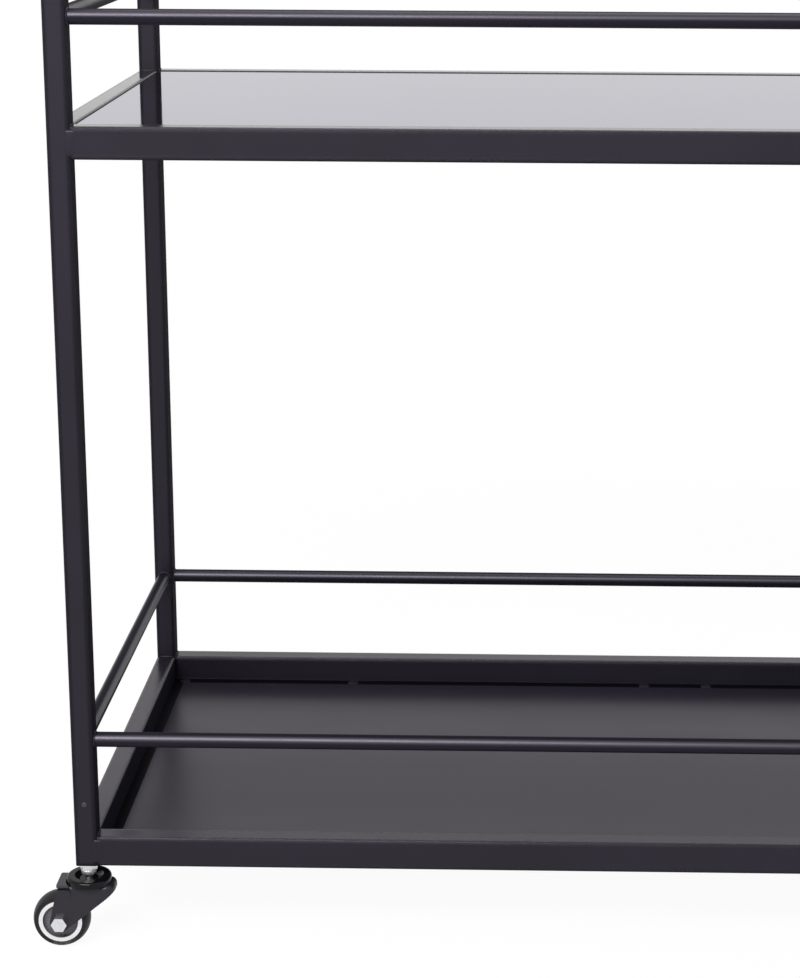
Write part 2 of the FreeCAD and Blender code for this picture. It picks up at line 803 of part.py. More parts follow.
def make_brake_pin(side):
    """The rivet that the brake lever turns on, headed on both cheeks."""
    piece = Piece(f"brake_pin_front_{side}")
    profile = piece.sketch("XY")
    radius, head = size("pin_diameter") / 2, size("pin_head_diameter") / 2
    reach = size("fork_width") / 2
    tip = reach + size("pin_head_height")
    zero = as_size(0)
    half = [(radius, reach), (head, reach), (head, tip), (zero, tip)]
    outline(profile, list(reversed([(u, -v) for u, v in half])) + half)
    piece.turn(profile)
    place(piece.body, (post_x + size("pin_reach")) * sign_of(side), -post_y, pin_height)
    return piece.body


nodes = [make_post(end, side) for end, side in corners]
nodes += [make_handle(side) for side in ("left", "right")]
nodes += make_tier("shelf", shelf_rim_top)
nodes += make_tier("tray", tray_rim_top)

mirror_top = shelf_rim_top - size("mirror_drop")
nodes.append(make_sheet("mirror_panel", size("mirror_gap"), size("mirror_thickness"), mirror_top,
                        size("mirror_bevel")))
nodes.append(make_ledges("mirror_ledges", size("ledge_thickness"), mirror_top - size("mirror_thickness"),
                         size("ledge_inset"), size("ledge_inset"), as_size(0)))
floor_top = tray_rim_top - size("tray_depth")
floor_underside = floor_top - size("floor_thickness")
tray_ledge_thickness = floor_underside - frame_underside
rim_corner = size("tube_corner")
ledge_tuck = rim_corner - reach_on_circle(rim_corner, rim_corner - tray_ledge_thickness)
nodes.append(make_sheet("tray_floor", size("floor_gap"), size("floor_thickness"), floor_top,
                        size("floor_bend")))
nodes.append(make_ledges("tray_ledges", tray_ledge_thickness, floor_underside,
                         -ledge_tuck, size("ledge_width"), ledge_tuck))
nodes.append(group("leg_inserts", [make_insert(end, side) for end, side in corners]))
nodes.append(group("thrust_washers", [make_washer(end, side) for end, side in corners]))

for maker in (make_stem, make_cap, make_fork, make_axle, make_wheel_core, make_rings, make_tyre):
    nodes += [maker(end, side) for end, side in corners]
for side in ("left", "right"):
    nodes += [make_brake_lever(side), make_brake_pin(side)]

doc.recompute()
for item in doc.Objects:
    faults = {"Invalid", "Error"} & set(item.State)
    if faults:
        raise RuntimeError(f"{item.Label} is {faults}")
os.makedirs("parts", exist_ok=True)
for node in nodes:
    shape = node.Shape
    if shape.isNull() or not shape.isValid():
        raise RuntimeError(f"{node.Label} has no valid shape")
    shape.exportStep(f"parts/{node.Label}.step")
print(f"{len(nodes)} nodes")
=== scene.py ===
# %% [markdown]
# # A two-tier serving cart in a white studio
# The cart is a welded frame of black square tube on four small casters, with a
# mirror for its upper shelf and a sheet-metal tray below. Its solids come ready
# made, in metres, at their real places. They could be modelled a second time
# here, but then two models would have to agree, so this lesson leaves their
# shapes alone. It gives them their finishes, adds the small things that a welder
# and a painter leave behind, and lights the whole for a portrait.

# %% Load the cart's solids
import json
import math

import bmesh
import bpy
from mathutils import Matrix, Vector, noise


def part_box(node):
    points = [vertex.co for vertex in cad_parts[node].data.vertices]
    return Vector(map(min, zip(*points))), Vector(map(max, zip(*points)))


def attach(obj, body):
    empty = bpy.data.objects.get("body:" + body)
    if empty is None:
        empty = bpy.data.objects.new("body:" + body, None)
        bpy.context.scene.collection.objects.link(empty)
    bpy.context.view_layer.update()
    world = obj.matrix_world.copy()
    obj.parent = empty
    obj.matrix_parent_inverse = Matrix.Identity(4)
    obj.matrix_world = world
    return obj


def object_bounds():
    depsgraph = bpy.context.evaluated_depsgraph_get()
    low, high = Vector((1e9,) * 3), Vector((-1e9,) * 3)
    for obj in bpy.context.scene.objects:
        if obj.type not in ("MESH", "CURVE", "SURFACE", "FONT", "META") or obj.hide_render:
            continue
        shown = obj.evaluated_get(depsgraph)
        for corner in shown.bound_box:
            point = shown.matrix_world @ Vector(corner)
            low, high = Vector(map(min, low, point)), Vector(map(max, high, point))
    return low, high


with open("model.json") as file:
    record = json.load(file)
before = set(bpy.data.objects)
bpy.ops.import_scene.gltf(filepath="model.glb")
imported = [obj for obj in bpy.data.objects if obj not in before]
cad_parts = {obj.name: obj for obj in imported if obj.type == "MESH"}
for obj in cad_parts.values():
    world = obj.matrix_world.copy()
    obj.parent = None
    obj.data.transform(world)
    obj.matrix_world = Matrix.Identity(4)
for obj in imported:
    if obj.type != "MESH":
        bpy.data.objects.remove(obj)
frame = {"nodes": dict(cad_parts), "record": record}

MM = 0.001
cad_low, cad_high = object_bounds()
print("the cart is", [round(size, 3) for size in cad_high - cad_low], "m")

# %% [markdown]
# ## Where the photographer stood
# The picture was taken from just above the cart's top, with a rising front: its
# upright posts stay upright, so the lens was shifted and not only tilted. A
# camera that only tilts would make the posts lean, and a whole shift would carry
# the cart out of every other view of the scene. So this one takes a part of the
# shift and tilts for the rest. The angles are the ones that bring the posts,
# rims and rails closest to their places in the picture.

# %% Camera
PICTURE_HEIGHT, FOCAL_LENGTH = 978, 2214  # pixels
FILM_HEIGHT = 36  # millimetres
SHIFT_X, SHIFT_Y = -0.10, -0.15  # shares of the picture's height
STAND = Vector((-30.6, -1988.7, 954.1)) * MM


def add_object(name, data):
    """Makes an object of this data and puts it in the scene."""
    made = bpy.data.objects.new(name, data)
    bpy.context.scene.collection.objects.link(made)
    return made


lens = bpy.data.cameras.new("camera")
lens.sensor_width = FILM_HEIGHT
lens.lens = FOCAL_LENGTH / PICTURE_HEIGHT * FILM_HEIGHT
lens.shift_x, lens.shift_y = SHIFT_X, SHIFT_Y
camera = add_object("camera", lens)
bpy.context.scene.camera = camera

tilt_down, turn_left, roll = math.radians(12.98), math.radians(0.86), math.radians(0.30)
upright = Matrix.Rotation(math.pi / 2 - tilt_down, 4, "X")
aim = Matrix.Rotation(turn_left, 4, "Z") @ upright @ Matrix.Rotation(roll, 4, "Z")
camera.matrix_world = Matrix.Translation(STAND) @ aim
print("lens", round(lens.lens, 1), "mm")

# %% [markdown]
# ## Shader sums written as Python
# Most finishes need a few sums on noise and position. They could be wired by
# hand, one Math node at a time, but then nobody could read them. So a socket is
# wrapped in a small class whose operators add the Math nodes, and a finish reads
# like a formula.

# %% A value in a material
class Value:
    """A node's output. Sums on it add Math nodes to its finish."""

    def __init__(self, finish, socket):
        self.finish = finish
        self.socket = socket

    def sum_of(self, operation, first, second):
        return self.finish.node("ShaderNodeMath", {0: first, 1: second}, operation=operation)

    def __add__(self, other):
        return self.sum_of("ADD", self, other)

    def __rsub__(self, other):
        return self.sum_of("SUBTRACT", other, self)

    def __mul__(self, other):
        return self.sum_of("MULTIPLY", self, other)

    def __pow__(self, other):
        return self.sum_of("POWER", self, other)

    def above(self, limit):
        return self.sum_of("GREATER_THAN", self, limit)

    __radd__ = __add__
    __rmul__ = __mul__


print("values can be added, taken from a number, multiplied, raised and compared")

# %% [markdown]
# ## A finish and its nodes
# Every material here is a tree of nodes on the solid's own coordinates, so it
# needs no image and no unwrapped map, and its grain has the same real size on
# each piece. The nodes that many finishes share, such as soft noise, a smooth
# step or a relief, are short methods. Any other node comes from one method that
# takes its type, its settings and the values or links of its sockets.

# %% A finish under construction
# where the painted edge shade starts and ends: how well two directions agree, and how far one looks up
EDGE_AGREEMENT, EDGE_UPWARDS = (0.92, 1.0), (0.02, 0.15)


class Finish:
    """A material that is built from nodes."""

    def __init__(self, name):
        self.material = bpy.data.materials.new(name)
        self.material.use_nodes = True
        self.tree = self.material.node_tree
        self.tree.nodes.clear()
        self.place = self.node("ShaderNodeTexCoord", output="Object")

    def node(self, kind, sockets=None, output=0, **settings):
        """Adds a node with these sockets and settings, and gives one of its outputs."""
        made = self.tree.nodes.new(kind)
        for name, value in settings.items():
            setattr(made, name, value)
        for name, value in (sockets or {}).items():
            if isinstance(value, Value):
                self.tree.links.new(value.socket, made.inputs[name])
            else:
                made.inputs[name].default_value = value
        return Value(self, made.outputs[output]) if made.outputs else None

    def clouds(self, size, detail=2.0, stretch=(1, 1, 1)):
        """Soft noise from 0 to 1 whose patches are about this many metres across."""
        spot = self.node("ShaderNodeMapping", {"Vector": self.place, "Scale": stretch})
        sockets = {"Vector": spot, "Scale": 1 / size, "Detail": detail}
        return self.node("ShaderNodeTexNoise", sockets)

    def ramp(self, value, low, high):
        """0 below low, 1 above high and a smooth rise between them."""
        sockets = {"Value": value, "From Min": low, "From Max": high}
        return self.node("ShaderNodeMapRange", sockets, interpolation_type="SMOOTHSTEP")

    def blend(self, mask, first, second):
        """The first colour where the mask is 0, the second where it is 1."""
        sockets = {0: mask, 6: first, 7: second}
        return self.node("ShaderNodeMix", sockets, output=2, data_type="RGBA")

    def rounded(self, radius):
        """The surface's direction, with its edges softened over this many metres."""
        return self.node("ShaderNodeBevel", {"Radius": radius}, samples=6)

    def bump(self, height, depth, base=None):
        """A relief this many metres deep; base is a softened direction to lay it on."""
        sockets = {"Height": height, "Distance": depth, "Strength": 1.0}
        if base:
            sockets["Normal"] = base
        return self.node("ShaderNodeBump", sockets)

    def facing_up(self):
        """1 on level tops, 0 on upright faces and -1 on undersides."""
        normal = self.node("ShaderNodeNewGeometry", output="Normal")
        return self.node("ShaderNodeSeparateXYZ", {0: normal}, output="Z")

    def edges(self, softened):
        """1 along upright and lower edges, where the softened direction leaves the face's own; it
        places painted shade, so upward edges are left out.
        """
        own = self.node("ShaderNodeNewGeometry", output="Normal")
        both = {0: softened, 1: own}
        agreement = self.node("ShaderNodeVectorMath", both, output="Value", operation="DOT_PRODUCT")
        upwards = self.node("ShaderNodeSeparateXYZ", {0: softened}, output="Z")
        return (1 - self.ramp(agreement, *EDGE_AGREEMENT)) * (1 - self.ramp(upwards, *EDGE_UPWARDS))

    def surface(self, sockets):
        return self.node("ShaderNodeBsdfPrincipled", sockets)

    def mix(self, mask, first, second):
        """The first shader where the mask is 0, the second where it is 1."""
        return self.node("ShaderNodeMixShader", {0: mask, 1: first, 2: second})

    def done(self, shader):
        """Ends the finish with this shader."""
        self.node("ShaderNodeOutputMaterial", {"Surface": shader})
        print(self.material.name, "has", len(self.tree.nodes), "nodes")
        return self.material

    def shade(self, sockets):
        """Ends a finish that is a single surface with these sockets."""
        return self.done(self.surface(sockets))


print("helpers:", ", ".join(name for name in vars(Finish) if not name.startswith("_")))

# %% [markdown]
# ## Tints
# None of the cart's blacks is neutral. The powder leans to violet and the
# plastics to blue, and the highlights on the powder are a pale lilac. The leaning
# could be painted by a coloured lamp, but that would also tint the mirror and the
# bright metal, so it is part of each finish.

# %% Tints
def grey(level, tint=(1, 1, 1)):
    """A colour of this linear level, leaning to a tint."""
    return (level * tint[0], level * tint[1], level * tint[2], 1)


VIOLET, PLUM = (0.97, 0.84, 1.42), (1.0, 0.80, 1.35)
COOL, WARM = (1.0, 0.95, 1.12), (1.0, 0.98, 0.95)
SHINE_ON_TUBE, SHINE_ON_TOPS = (0.95, 0.87, 1.0, 1), (0.98, 0.84, 1.0, 1)
SHINE_ON_RAILS, SHINE_ON_SHEET = (0.90, 0.83, 1.0, 1), (0.97, 0.80, 1.0, 1)
print("a mid grey leaning to violet is", [round(part, 2) for part in grey(0.5, VIOLET)])

# %% [markdown]
# ## Black powder coat
# The frame is dusted with black powder and baked. The coat is satin: its faces
# are nearly black seen square on, with a faint violet cast. Baked powder has a
# fine skin like orange peel, and it lies thinner on some stretches, so its gloss
# wanders a little. One black with one roughness would look like plastic. So wide
# soft noise drives the colour, smaller noise the roughness, and a fine one the
# relief.
#
# Some places are dull and darker, and a second surface stands for them: that
# darkness is painted shade. The Bevel node finds the edges: there its softened
# direction differs from the face's own.

# %% Powder
DULL = {"Roughness": 0.85, "Specular IOR Level": 0.04}
MOST_DULL = 0.9  # the share of gloss that a dull place loses
PEEL_DEPTH = 0.022 * MM


class Powder(Finish):
    """Black powder coat, by its colour's level and the depth of its orange peel.

    With softness, a reach in metres, the coat runs rounded over its piece's edges.
    """

    def __init__(self, name, level, skin=PEEL_DEPTH, softness=None):
        super().__init__(name)
        drift = self.clouds(160 * MM)
        peel = self.clouds(1.6 * MM, detail=1)
        self.thin = self.clouds(35 * MM, detail=3)
        self.glancing = self.node("ShaderNodeLayerWeight", {"Blend": 0.5}, output="Facing")
        self.softened = self.rounded(softness) if softness else None
        self.colour = self.blend(drift, grey(level * 0.6, VIOLET), grey(level * 1.4, VIOLET))
        self.relief = self.bump(peel, skin, self.softened)

    def patchy(self, least):
        """A roughness that grows where the powder lies thin."""
        return least + 0.12 * self.thin

    def satin(self, least):
        """The same, growing towards low angles too."""
        return self.patchy(least) + 0.6 * self.glancing ** 2

    def coat(self, sockets):
        """A surface of this powder."""
        return self.surface({"Base Color": self.colour, "Normal": self.relief, **sockets})

    def painted_dull_shade(self, mask, shader, level):
        """The shader, with a dull coat of this darker level where the mask is 1: painted shade."""
        sockets = {"Base Color": grey(level, VIOLET), **DULL}
        if self.softened:
            sockets["Normal"] = self.softened
        return self.mix(MOST_DULL * mask, shader, self.surface(sockets))


print("orange peel", round(PEEL_DEPTH / MM, 3), "mm deep")

# %% [markdown]
# ## One powder on square tube, on round tube and on welds
# On the level tops of the square tube the powder flows out smoother and shines
# more. On its upright faces the gloss is lost at a low angle, where the small
# bumps of the coat hide it behind one another. That is a matter of gloss alone:
# the colour stays as it is. Its upright and lower edges are dull and darker:
# that is painted shade.
#
# On the round rails only the upper flanks keep their gloss, and the crest and
# the underside take a dull coat by the way they face: a painted highlight band
# between painted shade. Welds are too rough to show any of this.
# One finish for all could be simpler, but each kind of tube would lose the line
# of light that tells its shape.

# %% Coats of the frame
TUBE_LEVEL, RAIL_LEVEL, TACK_LEVEL = 0.008, 0.003, 0.014
# from 0 for a face seen square on to 1 for one seen edge on
LOW_ANGLE, LOWEST_ANGLE = (0.60, 0.85), (0.70, 0.86)
# from -1 for a face that looks down to 1 for one that looks up
LEVEL_TOP, RAIL_FLANK, RAIL_CREST = (0.3, 0.95), (-0.1, 0.5), (0.75, 0.98)


def tube_coat():
    """Satin powder on square tube."""
    finish = Powder("black_powder_coat", TUBE_LEVEL, softness=5 * MM)
    satin = finish.coat({
        "Roughness": finish.satin(0.38),
        "Specular IOR Level": 0.24,
        "Specular Tint": SHINE_ON_TUBE,
    })
    sharper = 1 - 0.5 * finish.ramp(finish.glancing, *LOWEST_ANGLE)
    smooth = finish.coat({
        "Roughness": finish.patchy(0.20) * sharper,
        "Specular IOR Level": 0.38,
        "Specular Tint": SHINE_ON_TOPS,
    })
    hidden = MOST_DULL * finish.ramp(finish.glancing, *LOW_ANGLE)
    shader = finish.mix(hidden, satin, finish.coat(DULL))
    shader = finish.mix(finish.ramp(finish.facing_up(), *LEVEL_TOP), shader, smooth)
    # painted shade: the upright and lower edges take a darker, dull coat
    return finish.done(finish.painted_dull_shade(finish.edges(finish.softened), shader, TUBE_LEVEL * 0.3))


def rail_coat():
    """Powder on round tube, glossy only on its upper flanks: a painted highlight band, with painted
    shade on crest and underside.
    """
    finish = Powder("black_powder_coat_on_rails", RAIL_LEVEL, skin=0.010 * MM)
    flank = finish.coat({
        "Roughness": finish.patchy(0.36),
        "Specular IOR Level": 0.64,
        "Specular Tint": SHINE_ON_RAILS,
    })
    # painted highlight band and painted shade: the gloss stays on the upper flanks, and crest and
    # underside take a dull coat
    up = finish.facing_up()
    painted_shine_band = finish.ramp(up, *RAIL_FLANK) * (1 - finish.ramp(up, *RAIL_CREST))
    return finish.done(finish.painted_dull_shade(1 - painted_shine_band, flank, RAIL_LEVEL * 3))


def weld_coat(name, level, roughness, gloss):
    """Powder on a weld, by its colour's level, its least roughness and its specular level."""
    finish = Powder(name, level)
    return finish.done(finish.coat({
        "Roughness": finish.satin(roughness),
        "Specular IOR Level": gloss,
        "Specular Tint": SHINE_ON_TUBE,
    }))


print("levels of black: tube", TUBE_LEVEL, "rails", RAIL_LEVEL, "tacks", TACK_LEVEL)

# %% [markdown]
# ## The tray's sheet
# The same powder lies flatter on the wide tray sheet. It is rubbed in long
# patches, and has cloudy places some 20 cm across. Scratches could be drawn one
# by one, but the picture shows none, so stretched noise in the roughness is
# enough.

# %% Coat of the sheet
def sheet_coat():
    """The frame's powder on flat sheet, darker in patches as wide as a plate."""
    finish = Finish("black_powder_coat_on_sheet")
    drift = finish.clouds(220 * MM)
    rubbed = finish.clouds(50 * MM, detail=4, stretch=(0.35, 1, 1))
    peel = finish.clouds(2.2 * MM, detail=1)
    return finish.shade({
        "Base Color": finish.blend(drift, grey(0.009, PLUM), grey(0.015, PLUM)),
        "Roughness": 0.25 + 0.10 * rubbed,
        "Specular IOR Level": 0.31,
        "Specular Tint": SHINE_ON_SHEET,
        "Normal": finish.bump(peel, 0.010 * MM),
    })


# %% [markdown]
# ## The mirror
# Silvered glass 5 mm thick. It returns the white of the studio dimmed and cool:
# its silver is kept darker than real silver, painted shade for the greyer
# surroundings that a mirror shows, and it varies over wide patches. Wiping leaves
# faint streaks, and dust fine specks, that only show in the sharpness of what it
# reflects, so they go to the roughness and not to the colour. Glass over a layer
# of silver could be built as two surfaces, but from outside the pair looks like
# one smooth metal. Its cut sides are green-grey.

# %% Mirror glass
def mirror_glass():
    finish = Finish("silvered_glass")
    wiped = finish.clouds(90 * MM, detail=3, stretch=(0.4, 1, 1))
    wide_variation = finish.clouds(450 * MM, detail=1)
    dusty = finish.ramp(finish.clouds(4 * MM), low=0.62, high=0.74)
    face = finish.facing_up().above(0.9)
    # painted shade: the silver is kept at 0.56 to 0.66, darker than real silver, and varies over wide
    # patches
    silver = finish.blend(wide_variation, grey(0.56, (1, 1, 1.06)), grey(0.66, (1, 1, 1.06)))
    return finish.shade({
        "Base Color": finish.blend(face, grey(0.16, (0.8, 1, 0.95)), silver),
        "Metallic": 1.0,
        "Specular Tint": grey(0.68, (1, 1, 1.05)),
        "Roughness": 0.035 + 0.03 * wiped + 0.02 * dusty,
    })


# %% [markdown]
# ## Bright and black metal of the casters
# The bolts, nuts and collars are zinc plated: bright, a little blue, with fine
# turning marks. The fork, its cap and the brake's lever are pressed steel under
# black paint, glossiest on the cap and lighter grey on the lever. Each could be one
# flat value, but then the small parts would look moulded in one go, so cloudy
# noise moves their colour and roughness.

# %% Metal finishes
def zinc_plate():
    finish = Finish("zinc_plate")
    bloom = finish.clouds(4 * MM, detail=3)
    marks = finish.clouds(0.5 * MM, detail=1, stretch=(1, 1, 6))
    return finish.shade({
        "Base Color": finish.blend(bloom, grey(0.58, (0.98, 1, 1.03)), grey(0.82)),
        "Metallic": 1.0,
        "Roughness": 0.20 + 0.16 * bloom,
        "Normal": finish.bump(marks, 0.008 * MM),
    })


def caster_paint(name, level, roughness, gloss):
    """Black paint, by its colour's level, its least roughness and its specular level."""
    finish = Finish(name)
    patch = finish.clouds(12 * MM, detail=3)
    ripple = finish.clouds(1.5 * MM)
    tint = (1.0, 0.86, 1.28)
    return finish.shade({
        "Base Color": finish.blend(patch, grey(level, tint), grey(level * 1.8, tint)),
        "Roughness": roughness + 0.08 * patch,
        "Specular IOR Level": gloss,
        "Normal": finish.bump(ripple, 0.010 * MM),
    })


# %% [markdown]
# ## The wheel
# A dark plastic wheel with a bright satin ring on each face and a soft tyre. The
# tyre's sides are smooth from the mould. Its lowest part turns lighter and warmer
# in patches: a painted reflection of the white floor, fading out over 12 mm of
# height above the floor.

# %% Wheel finishes
FLOOR_REFLECTION_HEIGHT = 12 * MM


def wheel_plastic():
    finish = Finish("wheel_plastic")
    mottle = finish.clouds(6 * MM, detail=3)
    grain = finish.clouds(0.6 * MM, detail=1)
    return finish.shade({
        "Base Color": finish.blend(mottle, grey(0.055, COOL), grey(0.12, COOL)),
        "Roughness": 0.38 + 0.10 * mottle,
        "Normal": finish.bump(grain, 0.010 * MM),
    })


def bright_ring():
    finish = Finish("bright_ring")
    patch = finish.clouds(8 * MM)
    turned = finish.clouds(0.7 * MM, detail=1, stretch=(1, 8, 1))
    return finish.shade({
        "Base Color": finish.blend(patch, grey(0.66), grey(0.84)),
        "Metallic": 0.85,
        "Roughness": 0.24 + 0.14 * patch,
        "Normal": finish.bump(turned, 0.006 * MM),
    })


def tyre_rubber():
    finish = Finish("tyre")
    patch = finish.clouds(10 * MM, detail=3)
    grain = finish.clouds(0.8 * MM)
    height = finish.node("ShaderNodeSeparateXYZ", {0: finish.place}, output="Z")
    # painted reflection of the white floor: lighter, warmer patches on the tyre's lowest 12 mm
    near_floor = 1 - finish.ramp(height, 0.0, FLOOR_REFLECTION_HEIGHT)
    painted_floor_reflection = near_floor * finish.ramp(patch, low=0.35, high=0.7)
    rubber = finish.blend(patch, grey(0.008, COOL), grey(0.017, COOL))
    return finish.shade({
        "Base Color": finish.blend(painted_floor_reflection, rubber, grey(0.10, WARM)),
        "Roughness": 0.30 + 0.2 * patch,
        "Specular IOR Level": 0.13,
        "Normal": finish.bump(grain, 0.020 * MM),
    })


# %% [markdown]
# ## Nylon, and a painted shadow
# The inserts in the posts' feet and the vent plugs are moulded black nylon, the
# swivels' washers natural white nylon. The black line round the tray's sheet is
# painted shadow: the groove between sheet and rim is in shade, and a dull,
# near-black strip with a faint ripple stands in for it. Soft plastics scatter light
# inside, but on pieces this small a plain surface with a faint grain looks the same.

# %% Plastic finishes
def nylon(name, level, tint):
    finish = Finish(name)
    patch = finish.clouds(10 * MM)
    grain = finish.clouds(0.6 * MM, detail=1)
    return finish.shade({
        "Base Color": finish.blend(patch, grey(level, tint), grey(level * 1.15, tint)),
        "Roughness": 0.42 + 0.12 * patch,
        "Normal": finish.bump(grain, 0.010 * MM),
    })


# painted shadow: a near-black, dull finish for the strip that stands for the shade in the tray's
# groove
def groove_shadow_finish():
    finish = Finish("painted_groove_shadow")
    patch = finish.clouds(20 * MM, detail=3)
    ripple = finish.clouds(3 * MM)
    return finish.shade({
        "Base Color": finish.blend(patch, grey(0.001, VIOLET), grey(0.003, VIOLET)),
        "Roughness": 0.55 + 0.2 * patch,
        "Specular IOR Level": 0.04,
        "Normal": finish.bump(ripple, 0.030 * MM),
    })


# %% [markdown]
# ## Every solid in its finish
# Each solid names the slot that its finish comes from, so most are dressed by a
# table of slots. They could be dressed one by one, but there are sixty. Only the
# rails, the caps and the brake levers need more than their slot says: they share
# it with pieces that look a little different.

# %% Dress every solid by its slot
finishes = {
    "frame": tube_coat(),
    "tray_sheet": sheet_coat(),
    "mirror": mirror_glass(),
    "zinc": zinc_plate(),
    "caster_steel": caster_paint("fork_paint", 0.008, roughness=0.34, gloss=0.3),
    "wheel_plastic": wheel_plastic(),
    "ring": bright_ring(),
    "tyre": tyre_rubber(),
    "plug": nylon("black_nylon", 0.018, COOL),
    "washer": nylon("white_nylon", 0.62, (1, 0.99, 0.94)),
}
special = {
    "_rail_": rail_coat(),
    "swivel_cap_": caster_paint("gloss_cap_paint", 0.002, roughness=0.12, gloss=0.16),
    # the brake lever's paint is a lighter grey than the fork's
    "brake_lever_": caster_paint("lighter_lever_paint", 0.014, roughness=0.40, gloss=0.4),
}
for subpart in frame["record"]["subparts"]:
    node = subpart["node"]
    own = [finish for part, finish in special.items() if part in node]
    solid = frame["nodes"][node]
    solid.material_slots[0].material = own[0] if own else finishes[subpart["material_slot"]]
print(len(frame["nodes"]), "solids dressed in", len(finishes) + len(special), "finishes")

# %% [markdown]
# ## Where the tubes meet
# The frame is welded tube, so there is a weld wherever two tubes meet. Their
# places could be typed in, but the tubes' own boxes give them: the inner and
# outer faces of a post, and the heights of each tier's rim and rail. The cart is
# alike on all sides, so one corner's numbers serve four.

# %% Corners and tiers
post_low, post_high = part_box("post_front_left")
inner_x, inner_y = -post_high.x, -post_high.y
outer_x, outer_y = -post_low.x, -post_low.y
across_x, across_y = (inner_x + outer_x) / 2, (inner_y + outer_y) / 2
tiers = {
    tier: (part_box(f"{tier}_rim_front"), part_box(f"{tier}_rail_front")) for tier in ("shelf", "tray")
}
CORNERS = [(x_sign, y_sign) for x_sign in (-1, 1) for y_sign in (-1, 1)]
print("posts end inside at", [round(value / MM, 1) for value in (inner_x, inner_y)], "mm")

# %% [markdown]
# ## From a mesh to a piece
# All welds of one kind are one piece, because on the real cart they are part of
# the frame. Each small mesh is made by itself and added to the piece's mesh. They
# could be joined as objects at the end, but meshes are quicker to add and leave
# nothing behind. The piece is shaded smooth and rides on the frame.

# %% Hand over a piece
def to_data(name, mesh):
    """Turns a mesh under construction into data that an object can show."""
    data = bpy.data.meshes.new(name)
    mesh.to_mesh(data)
    mesh.free()
    return data


def add_piece(mesh, piece):
    """Adds a small mesh to a larger one and lets it go."""
    data = to_data("piece", piece)
    mesh.from_mesh(data)
    bpy.data.meshes.remove(data)


def hand_over(name, mesh, finish):
    """Makes an object of a mesh, in its finish, that rides on the cart's frame."""
    bmesh.ops.recalc_face_normals(mesh, faces=mesh.faces)
    data = to_data(name, mesh)
    for face in data.polygons:
        face.use_smooth = True
    data.materials.append(finish)
    piece = add_object(name, data)
    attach(piece, "cart_frame")
    print(name, len(data.polygons), "faces")


# %% [markdown]
# ## A straight weld bead
# Across the top and bottom of each rim's end the welder leaves a bead, a rod of
# metal laid in small pulses. It could be a tube with a bumpy material, but the
# ripple shows in its outline. So it is a stretched sphere, half sunk in both
# tubes, whose thickness rises and falls, with some noise because no two pulses
# are alike.

# %% Rippled bead
PULSE = 2.4 * MM
RINGS_PER_PULSE, FEWEST_RINGS = 4, 6
RIPPLE_SHARE, UNEVEN_SHARE = 0.10, 0.12
UNEVEN_REACH = 3 * MM


def swelling(phase, place):
    """How much thicker than its mean a bead is, by its pulse's phase and its place."""
    uneven = noise.noise(place / UNEVEN_REACH)
    return 1 + RIPPLE_SHARE * math.sin(phase) + UNEVEN_SHARE * uneven


def add_bead(mesh, centre, reach):
    """A weld bead about a point; reach is half its size along X, Y and Z."""
    longest = max(range(3), key=lambda axis: reach[axis])
    rings = max(FEWEST_RINGS, round(2 * reach[longest] / PULSE * RINGS_PER_PULSE))
    bead = bmesh.new()
    bmesh.ops.create_uvsphere(bead, u_segments=10, v_segments=rings, radius=1)
    along = Vector([1.0 if axis == longest else 0.0 for axis in range(3)])
    shape = Matrix.Diagonal((*reach, 1)) @ along.to_track_quat("Z", "Y").to_matrix().to_4x4()
    bmesh.ops.transform(bead, matrix=shape, verts=bead.verts)
    for vertex in bead.verts:
        swell = swelling(vertex.co[longest] * math.tau / PULSE, vertex.co + centre)
        for axis in range(3):
            vertex.co[axis] *= 1 if axis == longest else swell
    bmesh.ops.translate(bead, vec=centre, verts=bead.verts)
    add_piece(mesh, bead)


print("a pulse is", round(PULSE / MM, 1), "mm long")

# %% [markdown]
# ## A bead round a rail
# Each guard rail butts against a post, and the bead runs once round its end. A
# curve with a round section could draw it, but its ripple would have to be set
# point by point. So a small circle is spun round the rail's axis, and each point
# is then moved away from the bead's own core.

# %% Ring bead
RING_PULSES = 14
RING_STEPS = 48


def add_ring_bead(mesh, centre, axis, ring_radius, bead_radius):
    """A bead that runs once round a tube's end; axis is the tube's own."""
    bead = bmesh.new()
    section = bmesh.ops.create_circle(bead, segments=8, radius=bead_radius)["verts"]
    on_end = Matrix.Rotation(math.pi / 2, 4, "X" if axis.x else "Y")
    start = Matrix.Translation(centre + Vector((0, 0, ring_radius)))
    bmesh.ops.transform(bead, matrix=start @ on_end, verts=section)
    bmesh.ops.spin(bead, geom=section + list(bead.edges), cent=centre, axis=axis,
                   dvec=(0, 0, 0), angle=math.tau, steps=RING_STEPS, use_merge=True)
    for vertex in bead.verts:
        spoke = vertex.co - centre
        spoke -= axis * spoke.dot(axis)
        core = centre + spoke.normalized() * ring_radius
        turn = math.atan2(spoke.z, spoke.x + spoke.y)
        vertex.co = core + (vertex.co - core) * swelling(RING_PULSES * turn, vertex.co)
    add_piece(mesh, bead)


print("a ring bead has", RING_PULSES, "pulses")

# %% [markdown]
# ## A ground weld
# Where a rim's outer face is flush with a post, the seam is filled and ground
# until only a low swelling is left under the powder. It could be left to the
# material's relief, but light glides over it along the whole post, and that needs
# a real shape. So a thin block is divided finely, its front is raised by a
# smooth curve that ends below the tube's face, and noise makes it uneven.

# %% Ground weld over a flush seam
GROUND_DEPTH, GROUND_CROWN, GROUND_SUNK = 1.2 * MM, 0.42 * MM, 0.05 * MM
GROUND_UNEVEN_SHARE = 0.35


